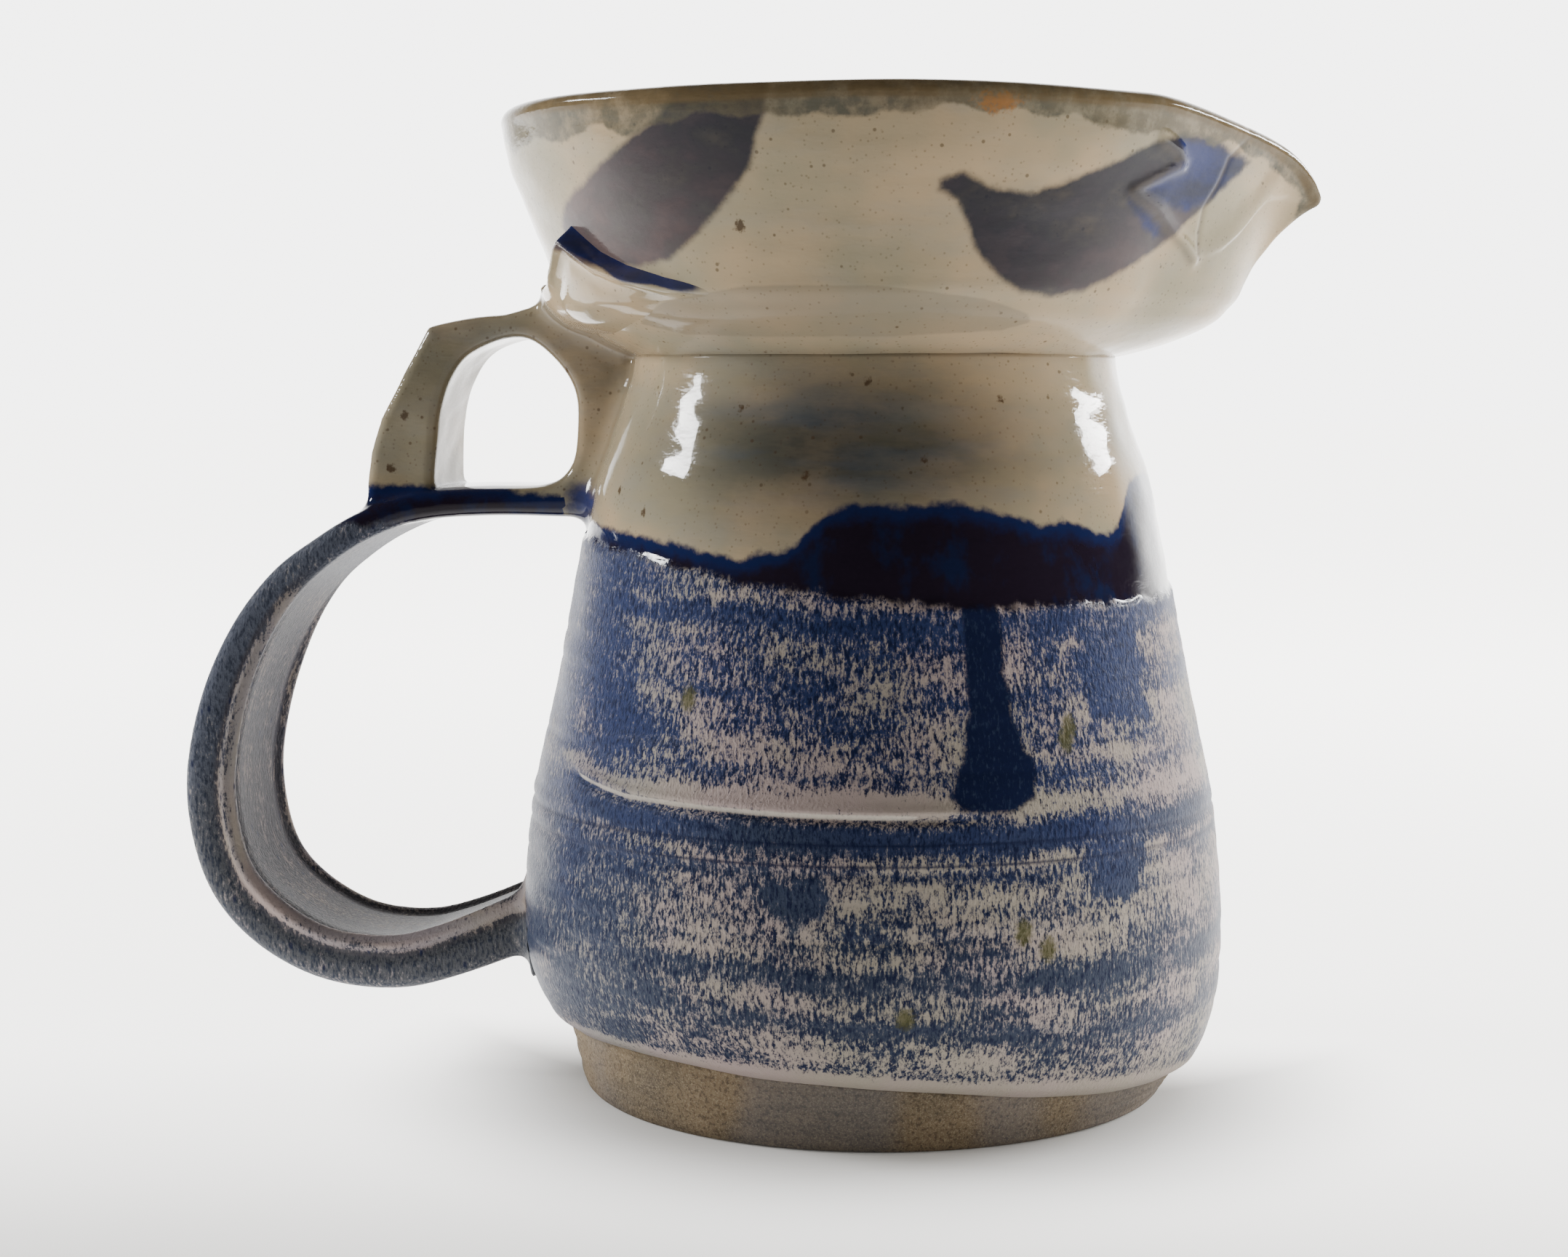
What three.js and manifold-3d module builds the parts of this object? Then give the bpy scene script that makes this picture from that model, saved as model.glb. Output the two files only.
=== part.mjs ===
// A hand-thrown stoneware pitcher, built from the clay pieces that the potter joins:
// a foot, a thrown body wall, a flared collar with its pouring lip, a strap handle loop,
// a finger arch that stands on the loop, and a saddle that spreads the arch onto the collar.
// Millimetres. +Z up from the table, +X towards the pouring lip, -X towards the handle.
import * as THREE from "three";
import { mergeVertices } from "three/addons/utils/BufferGeometryUtils.js";
import Module from "manifold-3d";

const wasm = await Module();
wasm.setup();

// ---- Driving dimensions --------------------------------------------------------------
const GAP = 0.3; // clearance between clay pieces that touch
const WELD = 0.001; // vertices closer than this are one
const WALL = 5; // thickness of the thrown walls
const TURN_STEPS = 56; // facets round the pot
const COLLAR_STEPS = 48; // facets round the collar, without the pouring lip
const LIP_STEPS = 20; // facets across the pouring lip
const BODY_ROWS = 17; // points up the body's section
const COLLAR_ROWS = 11; // points up the collar's section

const FOOT = { bottomR: 60.5, topR: 63.3, edgeZ: 8.6, bevel: 1.6, floorZ: 8, floorR: 54 };
const LEAN = { height: 6.8, fromDeg: -128, endZ: 45 }; // the belly's trimmed edge is not level

const BODY_PROFILE = [
  [FOOT.topR, FOOT.edgeZ + GAP],
  [68.3, 13.8],
  [71.4, 24],
  [72.1, 38],
  [70.1, 60],
  [66.3, 78],
  [62.6, 97],
  [58.3, 120],
  [53.6, 134.5],
  [50.4, 146],
  [49.6, 151.3],
];
const NECK_Z = 151.3;
const COLLAR_PROFILE = [
  [49.6, NECK_Z + GAP],
  [55, 154],
  [60.5, 158],
  [64, 163],
  [68, 173.8],
  [71.4, 181.8],
  [74.4, 189.7],
  [76.1, 198.3],
];
const RIM_WALL = 4;

const LIP = {
  halfAngle: 31.5, // where the beak leaves the round rim, in degrees each side of +X
  slopeDrop: 9.6, // the long fall of the rim towards the tip, over slopeAngle degrees
  slopeAngle: 40,
  curlDrop: 7.6, // the short fall where the tip curls over, within a few curlAngle degrees
  curlAngle: 3.2,
  swell: 8.6, // how far the pouring channel swells below the rim
  slopePower: 1.5, // how the fall grows towards the tip, then the pull and fall towards the rim
  outPower: 4,
  downPower: 2,
  swellPower: 0.75,
};

// The handle loop's centre line in the XZ plane, with its half thickness there.
const LOOP_ROUTE = [
  [-54, 121.3, 3.2],
  [-80, 121.2, 3.0],
  [-95, 119.8, 3.1],
  [-105, 116.4, 3.2],
  [-114, 111, 3.3],
  [-123, 103.6, 3.9],
  [-131.2, 92, 4.6],
  [-137.3, 77, 5.2],
  [-140, 60, 5.6],
  [-137, 43.4, 5.7],
  [-129, 32.6, 5.8],
  [-116, 25.2, 5.8],
  [-101, 23.4, 5.8],
  [-88, 26.2, 5.9],
  [-66, 35, 6.2],
];
const LOOP = {
  halfWidth: 17,
  rootHalfWidth: 15,
  rootFrom: 0.85, // the share of the route where the strap starts to narrow to its root
  steps: 46,
  sides: 12,
  squareness: 0.55,
};

// The finger arch in the XZ plane: its cornered outside, then the edge of the finger hole.
const ARCH = { width: 24, bevelDepth: 3, bevelInset: 1 };
const ARCH_OUTSIDE = [
  [-105.5, 117.5],
  [-104.6, 131],
  [-102.2, 138.5],
  [-92.2, 157.6],
  [-76.3, 159.8],
  [-64, 162.6],
  [-50, 163],
  [-45, 121.3],
  [-66, 121.3],
];
const ARCH_HOLE_CORNER = [-60, 124, -60, 132]; // control point, then end
const ARCH_HOLE = [
  [-60.2, 141],
  [-65.3, 151],
  [-73.5, 155],
  [-83.5, 152.4],
  [-88.6, 145.5],
  [-90.4, 133],
];
const ARCH_HOLE_END = [-90.6, 120.4];

// Heights on the saddle are shares of the way up the collar's section.
const SADDLE = {
  reachDeg: 62, // how far it spreads each side of the handle
  thickness: 3,
  edge: 0.7,
  steps: 26,
  rows: 6,
  bite: 1, // how far it reaches into the wall before it is cut clear
  lower: 0.12,
  lowerRise: 0.22,
  upper: 0.4,
  upperRise: 0.02,
  dip: 0.02, // behind the arch, over dipDeg
  dipDeg: 20,
  tipRise: 0.17,
  tipDeg: 39,
  tipSpreadDeg: 8,
  endThinning: 0.6,
  crownInset: 0.6, // rows that the crown's arc reaches past each edge
};

// ---- Small helpers -------------------------------------------------------------------
const radians = THREE.MathUtils.degToRad;
const smooth = THREE.MathUtils.smoothstep;

function splinePoints(points, count) {
  const curve = new THREE.SplineCurve(points.map(([r, z]) => new THREE.Vector2(r, z)));
  return curve.getSpacedPoints(count - 1);
}

// The same profile moved to its left by a distance at each point; the ends stay level.
function offsetProfile(profile, distance, endDistance = distance) {
  return profile.map((p, i) => {
    const last = profile.length - 1;
    if (i === 0) return new THREE.Vector2(p.x - distance, p.y);
    if (i === last) return new THREE.Vector2(p.x - endDistance, p.y);
    const t = profile[i + 1].clone().sub(profile[i - 1]).normalize();
    return new THREE.Vector2(p.x - t.y * distance, p.y + t.x * distance);
  });
}

// How much the trimmed edge of the belly rises or falls at a point of the foot or the wall.
function leanAt(x, y, z) {
  const r = Math.hypot(x, y);
  const turn = Math.cos(Math.atan2(y, x) - radians(LEAN.fromDeg));
  const upTo = Math.min(z / FOOT.edgeZ, 1) * (1 - smooth(z, FOOT.edgeZ, LEAN.endZ));
  return LEAN.height * turn * upTo * smooth(r, FOOT.floorR, FOOT.topR - WALL);
}

function leanGeometry(geometry) {
  const at = geometry.attributes.position;
  for (let i = 0; i < at.count; i++) {
    const [x, y, z] = [at.getX(i), at.getY(i), at.getZ(i)];
    at.setZ(i, z + leanAt(x, y, z));
  }
  return geometry;
}

function geometryOf(vertices, faces) {
  const geometry = new THREE.BufferGeometry();
  geometry.setAttribute("position", new THREE.Float32BufferAttribute(vertices.flat(), 3));
  geometry.setIndex(faces.flat());
  return geometry;
}

// A closed skin over a grid of closed rings: rows[i][j] is point j of ring i.
// With loop true the last ring joins the first one, otherwise both ends get a cap.
function skin(rows, loop) {
  const n = rows[0].length;
  const faces = [];
  const id = (i, j) => (i % rows.length) * n + (j % n);
  for (let i = 0; i < rows.length - (loop ? 0 : 1); i++)
    for (let j = 0; j < n; j++)
      faces.push(
        [id(i, j), id(i + 1, j), id(i + 1, j + 1)],
        [id(i, j), id(i + 1, j + 1), id(i, j + 1)],
      );
  if (!loop) {
    // A ring runs out along one side and back along the other, so a cap is a strip.
    const end = rows.length - 1;
    for (let j = 0; j < n / 2 - 1; j++) {
      const [a, b, c, d] = [j, j + 1, n - 2 - j, n - 1 - j];
      faces.push([id(0, a), id(0, b), id(0, c)], [id(0, a), id(0, c), id(0, d)]);
      faces.push([id(end, a), id(end, c), id(end, b)], [id(end, a), id(end, d), id(end, c)]);
    }
  }
  return geometryOf(rows.flat(), faces);
}

// Turns a strip section about Z. section(degrees) gives its outer and inner profiles.
function turned(section, fromDeg, toDeg, steps) {
  const whole = toDeg - fromDeg === 360;
  const rows = [];
  for (let i = 0; i < steps + (whole ? 0 : 1); i++) {
    const degrees = fromDeg + ((toDeg - fromDeg) * i) / steps;
    const { outer, inner } = section(degrees);
    const c = Math.cos(radians(degrees));
    const s = Math.sin(radians(degrees));
    rows.push([...outer, ...inner.toReversed()].map((p) => [p.x * c, p.x * s, p.y]));
  }
  return skin(rows, whole);
}

function solid(geometry) {
  const bare = geometry.index ? geometry.toNonIndexed() : geometry.clone();
  bare.deleteAttribute("normal");
  bare.deleteAttribute("uv");
  const merged = mergeVertices(bare, WELD);
  return new wasm.Manifold(
    new wasm.Mesh({
      numProp: 3,
      vertProperties: new Float32Array(merged.attributes.position.array),
      triVerts: new Uint32Array(merged.index.array),
    }),
  );
}

function fromSolid(manifold) {
  const { vertProperties, triVerts } = manifold.getMesh();
  const geometry = new THREE.BufferGeometry();
  geometry.setAttribute("position", new THREE.BufferAttribute(vertProperties, 3));
  geometry.setIndex(new THREE.BufferAttribute(triVerts, 1));
  return geometry;
}

// ---- The thrown pot ------------------------------------------------------------------
const bodyOuter = splinePoints(BODY_PROFILE, BODY_ROWS);
const collarOuter = splinePoints(COLLAR_PROFILE, COLLAR_ROWS);

function footGeometry() {
  const profile = [
    [0, 0],
    [FOOT.bottomR - FOOT.bevel, 0],
    [FOOT.bottomR, FOOT.bevel],
    [FOOT.topR, FOOT.edgeZ],
    [FOOT.topR - WALL - GAP, FOOT.edgeZ],
    [FOOT.floorR, FOOT.floorZ],
    [0, FOOT.floorZ],
  ].map(([r, z]) => new THREE.Vector2(r, z));
  return leanGeometry(new THREE.LatheGeometry(profile, TURN_STEPS).rotateX(Math.PI / 2));
}

function bodyGeometry() {
  const inner = offsetProfile(bodyOuter, WALL);
  return leanGeometry(turned(() => ({ outer: bodyOuter, inner }), 0, 360, TURN_STEPS));
}

// How much the collar is pulled out and down into the pouring lip at one angle.
// Seen from above, the beak's two sides are straight lines that leave the rim as tangents.
function lipPull(degrees) {
  const off = Math.abs(degrees > 180 ? degrees - 360 : degrees);
  const rimR = COLLAR_PROFILE.at(-1)[0];
  const slope = Math.max(0, 1 - off / LIP.slopeAngle) ** LIP.slopePower;
  return {
    out: off < LIP.halfAngle ? rimR / Math.cos(radians(LIP.halfAngle - off)) - rimR : 0,
    down: LIP.slopeDrop * slope + LIP.curlDrop * Math.exp(-off / LIP.curlAngle),
    swell: LIP.swell * (1 - smooth(off, 0, LIP.halfAngle)),
  };
}

function collarSection(degrees) {
  const { out, down, swell } = lipPull(degrees);
  const last = collarOuter.length - 1;
  const outer = collarOuter.map((p, i) => {
    const s = i / last;
    const channel = swell * Math.sin(Math.PI * s ** LIP.swellPower);
    const x = p.x + out * s ** LIP.outPower + channel;
    return new THREE.Vector2(x, p.y - down * s ** LIP.downPower);
  });
  return { outer, inner: offsetProfile(outer, WALL, RIM_WALL) };
}

const lipGapDeg = THREE.MathUtils.radToDeg(GAP / COLLAR_PROFILE[0][0]);

function collarGeometry() {
  const from = LIP.halfAngle + lipGapDeg;
  return turned(collarSection, from, 360 - from, COLLAR_STEPS);
}

function lipGeometry() {
  return turned(collarSection, -LIP.halfAngle, LIP.halfAngle, LIP_STEPS);
}

// ---- The handle ----------------------------------------------------------------------
// A flat strap swept along its route; grow thickens it all round, to cut its neighbours.
function loopGeometry(grow = 0) {
  const route = new THREE.CatmullRomCurve3(
    LOOP_ROUTE.map(([x, z, half]) => new THREE.Vector3(x, half, z)),
  );
  const rows = [];
  for (let i = 0; i <= LOOP.steps; i++) {
    const u = i / LOOP.steps;
    const { x, y: half, z } = route.getPointAt(u);
    const along = route.getTangentAt(u).setY(0).normalize();
    const outward = new THREE.Vector3(-along.z, 0, along.x);
    const narrowing = smooth(u, LOOP.rootFrom, 1);
    const width = THREE.MathUtils.lerp(LOOP.halfWidth, LOOP.rootHalfWidth, narrowing);
    const ring = [];
    for (let j = 0; j < LOOP.sides; j++) {
      const turn = (2 * Math.PI * (j + 0.5)) / LOOP.sides;
      const [c, s] = [Math.cos(turn), Math.sin(turn)];
      const across = Math.sign(c) * Math.abs(c) ** LOOP.squareness * (width + grow);
      const through = Math.sign(s) * Math.abs(s) ** LOOP.squareness * (half + grow);
      ring.push([x + outward.x * through, -across, z + outward.z * through]);
    }
    rows.push(ring);
  }
  return skin(rows, false);
}

// The finger arch: an upside-down U with a cornered outside and a rounded finger hole.
function archGeometry() {
  const outline = new THREE.Shape();
  outline.setFromPoints(ARCH_OUTSIDE.map(([x, z]) => new THREE.Vector2(x, z)));
  outline.quadraticCurveTo(...ARCH_HOLE_CORNER);
  outline.splineThru(ARCH_HOLE.map(([x, z]) => new THREE.Vector2(x, z)));
  outline.lineTo(...ARCH_HOLE_END);
  const plate = new THREE.ExtrudeGeometry(outline, {
    depth: ARCH.width - 2 * ARCH.bevelDepth,
    bevelSize: ARCH.bevelInset,
    bevelOffset: -ARCH.bevelInset,
    bevelThickness: ARCH.bevelDepth,
    bevelSegments: 2,
    curveSegments: 4,
  });
  return plate.rotateX(Math.PI / 2).translate(0, ARCH.width / 2 - ARCH.bevelDepth, 0);
}

// The saddle: a leaf of clay pressed round the underside of the collar, on both sides of
// the arch, with a raised tip each side. It is made reaching into the wall, then cut clear of it.
// grow thickens it outwards, to cut the arch.
function saddleGeometry(grow = 0) {
  const section = (degrees) => {
    const off = Math.abs(degrees - 180);
    const tip = Math.exp(-(((off - SADDLE.tipDeg) / SADDLE.tipSpreadDeg) ** 2));
    const end = smooth(off, SADDLE.tipDeg, SADDLE.reachDeg);
    const low = SADDLE.lower + SADDLE.lowerRise * end;
    const dip = SADDLE.dip * smooth(off, 0, SADDLE.dipDeg);
    const high = SADDLE.upper + SADDLE.tipRise * tip + SADDLE.upperRise * end - dip;
    const outer = [];
    const inner = [];
    for (let j = 0; j <= SADDLE.rows; j++) {
      const s = THREE.MathUtils.lerp(low, high, j / SADDLE.rows);
      const k = s * (collarOuter.length - 1);
      const i = Math.floor(k);
      const p = collarOuter[i].clone().lerp(collarOuter[i + 1], k - i);
      const t = collarOuter[i + 1].clone().sub(collarOuter[i]).normalize();
      const arc = (j + SADDLE.crownInset) / (SADDLE.rows + 2 * SADDLE.crownInset);
      const crown = Math.sin(Math.PI * arc);
      const thinning = 1 - SADDLE.endThinning * end;
      const thick = SADDLE.edge + (SADDLE.thickness - SADDLE.edge) * crown * thinning;
      inner.push(new THREE.Vector2(p.x - t.y * SADDLE.bite, p.y + t.x * SADDLE.bite));
      const reach = GAP + thick + grow;
      outer.push(new THREE.Vector2(p.x + t.y * reach, p.y - t.x * reach));
    }
    return { outer, inner };
  };
  return turned(section, 180 - SADDLE.reachDeg, 180 + SADDLE.reachDeg, SADDLE.steps);
}

// Everything within a clearance of the pot's outside, to cut the handle's pieces clear.
function potCutter() {
  const outside = [...bodyOuter, ...collarOuter.slice(1)];
  const grown = offsetProfile(outside, -GAP);
  const profile = [
    new THREE.Vector2(0, grown[0].y),
    ...grown,
    new THREE.Vector2(0, grown.at(-1).y),
  ];
  return leanGeometry(new THREE.LatheGeometry(profile, TURN_STEPS).rotateX(Math.PI / 2));
}

const pot = solid(potCutter());
const loop = solid(loopGeometry()).subtract(pot);
const saddle = solid(saddleGeometry()).subtract(pot);
const arch = solid(archGeometry())
  .subtract(pot)
  .subtract(solid(loopGeometry(GAP)))
  .subtract(solid(saddleGeometry(GAP)));

// ---- The assembly --------------------------------------------------------------------
const bareClay = { color: 0x9a8468, roughness: 0.85, metalness: 0 };
const paleGlaze = { color: 0xb4aa9a, roughness: 0.2, metalness: 0 };
const blueGlaze = { color: 0x4a5580, roughness: 0.45, metalness: 0 };
const saddleGlaze = { color: 0x8f8f94, roughness: 0.2, metalness: 0 };

const pitcher = new THREE.Group();

function add(name, geometry, look) {
  const mesh = new THREE.Mesh(geometry, new THREE.MeshStandardMaterial(look));
  mesh.name = name;
  pitcher.add(mesh);
}

add("foot", footGeometry(), bareClay);
add("body_wall", bodyGeometry(), blueGlaze);
add("collar", collarGeometry(), paleGlaze);
add("pouring_lip", lipGeometry(), paleGlaze);
add("handle_loop", fromSolid(loop), blueGlaze);
add("finger_arch", fromSolid(arch), paleGlaze);
add("collar_saddle", fromSolid(saddle), saddleGlaze);

export default pitcher;
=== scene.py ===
"""Looks for the ceramic pitcher: its seven clay pieces as detailed meshes, glazes, floor and light."""
import math

import bpy
import numpy as np
from mathutils import Matrix, Vector


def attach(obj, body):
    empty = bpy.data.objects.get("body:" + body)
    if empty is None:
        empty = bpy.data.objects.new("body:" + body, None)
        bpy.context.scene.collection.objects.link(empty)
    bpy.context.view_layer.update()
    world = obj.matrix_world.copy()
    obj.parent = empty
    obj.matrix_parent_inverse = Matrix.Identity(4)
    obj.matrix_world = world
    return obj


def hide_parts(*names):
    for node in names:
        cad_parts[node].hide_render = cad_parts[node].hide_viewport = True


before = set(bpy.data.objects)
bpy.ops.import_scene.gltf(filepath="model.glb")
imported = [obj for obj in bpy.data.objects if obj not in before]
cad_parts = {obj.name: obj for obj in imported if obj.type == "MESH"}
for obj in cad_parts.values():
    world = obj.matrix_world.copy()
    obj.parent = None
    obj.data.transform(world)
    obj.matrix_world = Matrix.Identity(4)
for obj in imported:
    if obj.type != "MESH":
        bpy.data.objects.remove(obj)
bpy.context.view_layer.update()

MM = 0.001

# ---- Camera ----
SENSOR_MM, LENS_MM = 36.0, 61.48
CAMERA = {"azimuth": 7.0, "distance": 557.0, "height": 145.3, "pitch": 5.2, "yaw": 1.898}


def make_camera():
    az, pitch = math.radians(CAMERA["azimuth"]), math.radians(CAMERA["pitch"])
    level = Vector((-math.sin(az), math.cos(az), 0.0))
    level = Matrix.Rotation(math.radians(CAMERA["yaw"]), 3, "Z") @ level
    right = Vector((level.y, -level.x, 0.0))
    ahead = level * math.cos(pitch) + Vector((0, 0, -math.sin(pitch)))
    up = right.cross(ahead)
    data = bpy.data.cameras.new("camera")
    data.sensor_width = SENSOR_MM
    data.lens = LENS_MM
    data.clip_start, data.clip_end = 0.02, 40.0
    camera = bpy.data.objects.new("camera", data)
    place = Vector((math.sin(az), -math.cos(az), 0.0)) * CAMERA["distance"]
    place.z = CAMERA["height"]
    turn = Matrix((right, up, -ahead)).transposed().to_4x4()
    camera.matrix_world = Matrix.Translation(place * MM) @ turn
    bpy.context.scene.collection.objects.link(camera)
    bpy.context.scene.camera = camera


make_camera()

# ---- Dimensions, in millimetres ----
WALL, RIM_WALL = 5.0, 4.0
FOOT = {"bottom_r": 60.5, "top_r": 63.3, "edge_z": 8.6, "floor_z": 8.0, "floor_r": 54.0}
LEAN = {"height": 6.8, "from_deg": -128.0, "end_z": 45.0}
NECK_Z = 151.3
BODY_PROFILE = [(63.3, 8.9), (68.3, 13.8), (71.4, 24), (72.1, 38), (70.1, 60), (66.3, 78),
                (62.6, 97), (58.3, 120), (53.6, 134.5), (50.4, 146), (49.6, 151.3)]
COLLAR_PROFILE = [(49.3, 151.0), (55, 154), (60.5, 158), (64, 163), (68, 173.8),
                  (71.4, 181.8), (74.4, 189.7), (76.1, 198.3)]
LIP = {"half": 31.5, "slope": 9.6, "slope_deg": 40.0, "curl": 7.6, "curl_deg": 3.2, "swell": 8.6}
LOOP_ROUTE = [(-54, 121.3, 3.2), (-80, 121.2, 3.0), (-95, 119.8, 3.1), (-105, 116.4, 3.2),
              (-114, 111, 3.3), (-123, 103.6, 3.9), (-131.2, 92, 4.6), (-137.3, 77, 5.2),
              (-140, 60, 5.6), (-137, 43.4, 5.7), (-129, 32.6, 5.8), (-116, 25.2, 5.8),
              (-101, 23.4, 5.8), (-88, 26.2, 5.9), (-66, 35, 6.2)]
LOOP_HALF, LOOP_ROOT_HALF = 17.0, 15.0
ARCH_OUTSIDE = [(-105.8, 117), (-105.4, 124), (-104.4, 131), (-102.2, 138.3), (-97, 148.4),
                (-92, 157.4), (-84, 158.9), (-76, 159.8), (-66, 162.2), (-50, 164),
                (-44, 119.6), (-78, 119.6), (-94, 119)]
ARCH_HOLE = [(-90.4, 123.6), (-90.1, 132.9), (-89.2, 140.9), (-87.2, 146.9), (-83.6, 151.6),
             (-78.4, 154.2), (-73.1, 155.1), (-69.2, 154.2), (-65.2, 151), (-61.8, 146.8),
             (-60.2, 142.1), (-60.1, 136), (-60.6, 130.6), (-62.6, 127.2), (-66, 124.6), (-72, 123.2)]
ARCH_HALF = 12.0
HANDLE_GRID = 0.72

# ---- Glaze layout: (degrees round the pot, height) ----
ROUND_R = 70.0  # radius that turns degrees into millimetres along the wall
PALE_EDGE = [(-180, 118.5), (-156, 117.6), (-130, 115.9), (-120, 114.5), (-112, 113.2), (-107.5, 112),
             (-105, 113.6), (-100, 114.2), (-97, 115.4), (-94, 119), (-91, 121.6), (-87, 122.9),
             (-77, 122.7), (-68, 123.2), (-58, 121.1), (-51, 118.8), (-44, 119.4), (-38, 117.4),
             (-33, 116.6), (-29, 118), (-25, 122.5), (-20, 126.5), (-8, 128), (10, 125),
             (34, 119.5), (60, 122), (88, 118.6), (110, 121), (135, 116.2), (158, 118.2), (180, 118.5)]
MATTE_EDGE = [(-180, 114.5), (-156, 114.5), (-130, 112.4), (-118, 110.6), (-107, 108.3), (-90, 106.3),
              (-69, 104.2), (-46, 103.8), (-12, 103.4), (30, 104.5), (80, 106.5), (130, 110.5),
              (180, 114.5)]
LEFT_STROKE = [(-97.5, 200), (-98, 194), (-101, 184.5), (-105, 179.5), (-111, 173.5), (-118, 168.5),
               (-126, 167.5), (-136, 168), (-143, 171.5), (-145, 176), (-140, 180), (-131, 184),
               (-122, 189), (-114, 194), (-110, 200)]
RIGHT_STROKE = [(-73.4, 182), (-70, 183.4), (-66, 180.9), (-60, 179.9), (-55, 181.7), (-47, 185.5),
                (-39, 190), (-32, 192.4), (-25, 191.6), (-19.5, 189.6), (-14.5, 188.4), (-17.5, 185.4),
                (-22, 179.3), (-28, 172.5), (-36, 167.2), (-45, 163), (-52, 161.7), (-58, 162.4),
                (-62.5, 165.2), (-67, 170), (-69, 175.2), (-70.6, 178.6), (-73.6, 180.2)]
FAR_STROKES = [[(60, 200), (66, 186), (76, 174), (88, 167), (100, 170), (96, 181), (84, 192), (78, 200)],
               [(124, 184), (132, 173), (143, 166), (150, 170), (146, 180), (136, 188)]]
DRIP = [(-68, 108), (-67.4, 95), (-67.4, 85), (-68.6, 76), (-71, 70), (-69.6, 66.6), (-60, 66.4),
        (-56.6, 68.6), (-56.4, 75), (-59.6, 83), (-60.4, 97), (-60.8, 108)]
PATCHES = [[(-46, 100.5), (-28, 99.5), (-30, 82), (-44, 82)], [(-48, 62), (-36, 61), (-37.5, 48), (-48, 49)],
           [(-99, 54), (-90, 54.5), (-89.5, 46.5), (-98, 46)], [(52, 96), (66, 95), (64, 76), (54, 78)],
           [(118, 60), (130, 60), (129, 46), (119, 46)]]
WELT = [(-37, 190.6), (-33, 188.9), (-31, 186.6), (-34, 185.2), (-38, 183), (-40.4, 181.4), (-38, 180),
        (-33, 178), (-28, 175), (-23, 172.3), (-19.6, 169.6)]
CRACK = [(-15.5, 193.4), (-20, 188.6), (-21, 182.6), (-22, 179), (-20.2, 173.2), (-18.9, 169.6)]
BEAK_EDGE = [(-19.6, 169.6), (-14, 172.6), (-11, 175.9), (-9, 179.8), (-7, 182.6), (-3.5, 183.2),
             (0, 182.4), (3.5, 183.2), (7, 182.6), (9, 179.8), (11, 175.9), (14, 172.6), (19.6, 169.6)]
LIP_DARK = [(-34, 191.2), (-24, 191), (-16, 189), (-16.5, 186), (-20.5, 181.5), (-26, 178.4), (-33, 179.4),
            (-38.4, 181.6), (-33.6, 185.6), (-31.2, 187.4)]
LIP_POOL = [(-41.5, 181), (-39, 179.4), (-33.5, 177), (-29, 173.6), (-31.5, 172.6), (-37, 176), (-41, 179)]
FLAP = [(-132, 157), (-122, 161), (-104, 163.6), (-82, 163.4), (-64, 161.2), (-55, 158.6), (-53, 157),
        (-58, 155.4), (-80, 154.2), (-104, 154.2), (-122, 154.8)]
GROOVE = [(-142, 68.9), (-134, 67.4), (-126, 66.2), (-111, 65.8), (-95, 65.3), (-81, 65.1), (-69, 65.0)]
RINGS = [(60.0, 0.22), (56.2, 0.2), (50.5, 0.12), (44.0, 0.16), (36.0, 0.12), (30.2, 0.16), (22.4, 0.12),
         (74.0, 0.14), (82.5, 0.05), (90.0, 0.1), (96.0, 0.12)]
SPECKS = [(-96, 128.5), (-73, 131.4), (-55, 142.6), (-133, 120.3), (-144, 124.4), (-104, 174.3),
          (-112, 141), (-30, 139), (-84, 146), (20, 136), (64, 130), (100, 141), (140, 128), (40, 176)]
ARCH_SPECKS = [(-97, -12, 139), (-72, -13, 150), (-90, -11, 121.6), (-100, -12, 128), (-62, -13, 148)]
BLUE_BANDS = [(35.2, 3.0, 0.6), (24.2, 3.2, 0.45), (55.6, 1.6, 0.4), (101.5, 3.0, 0.7),
              (14.0, 2.0, 0.15), (73.5, 1.6, 0.35), (88.0, 2.2, 0.35)]  # height, half width, amount
BLUE_CLOUDS = [(-90, 26, 92, 15, 0.3), (-88, 26, 52, 12, 0.2)]  # degrees, width, height, width, amount
RIM_DRIPS = [(-152, 9, 2.6), (-134, 7, 2.2), (-119, 6, 1.6), (-42, 10, 1.5), (-92, 12, 0.7)]
SADDLE_TOP = [(0, 166.0), (15, 166.6), (24, 167.4), (29, 168.6), (33, 171.4), (36.5, 174.4), (39, 175.8),
              (42, 173.6), (46, 170.6), (52, 167.9), (60, 165.5), (68, 163.9), (76, 162.8)]
SEAM_Z = 124.3  # where the arch meets the strap
ABSENT = 9.0  # a distance past which a glaze mark doesn't show
NO_RIM = 60.0
OLIVE = [(-49, 81.1), (-50, 78.8), (-115, 86.2), (-56, 40.5), (-60, 44), (-78, 26.6), (70, 60), (130, 84)]


# ---- Numeric helpers ----
def smooth(x, low, high):
    t = np.clip((x - low) / (high - low), 0, 1)
    return t * t * (3 - 2 * t)


def bell(x, centre, width):
    return np.exp(-(((x - centre) / width) ** 2))


def soft_min(a, b, k):
    h = np.clip(0.5 + 0.5 * (b - a) / k, 0, 1)
    return b + (a - b) * h - k * h * (1 - h)


def lumps(points, size, seed):
    """Smooth, repeatable unevenness of about -1 to 1 over an array of points."""
    rng = np.random.default_rng(seed)
    total = np.zeros(points.shape[:-1])
    for _ in range(7):
        k = rng.normal(size=points.shape[-1])
        k *= 2 * math.pi / (size * np.linalg.norm(k)) * rng.uniform(0.65, 1.5)
        total += np.sin(points @ k + rng.uniform(0, 2 * math.pi))
    return total / 3.2


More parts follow.
